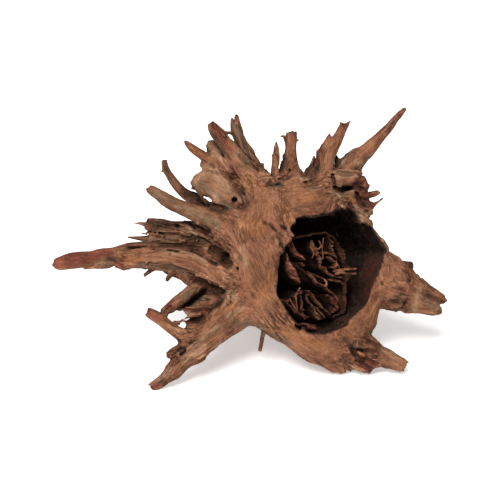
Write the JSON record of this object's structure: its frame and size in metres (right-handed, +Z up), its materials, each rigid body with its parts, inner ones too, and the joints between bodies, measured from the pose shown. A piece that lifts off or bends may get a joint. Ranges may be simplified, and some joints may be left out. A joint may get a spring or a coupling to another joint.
{
  "type": "aquarium driftwood",
  "caption": "Weathered root crown of driftwood with a deep rotted cave, thin heartwood fins inside it and broken roots spreading on all sides.",
  "frame": {"origin": "bottom centre of the bounding box, on the ground the feet stand on", "axes": "+Z up, +X to the right along the longest root seen from the front, -Y out of the cave's mouth"},
  "size_m": [0.4005, 0.2514, 0.231],
  "materials": {
    "driftwood": "weathered, matt, grey-brown to orange-tan with open grain"
  },
  "bodies": {
    "root": {"driftwood": "driftwood"}
  },
  "joints": []
}
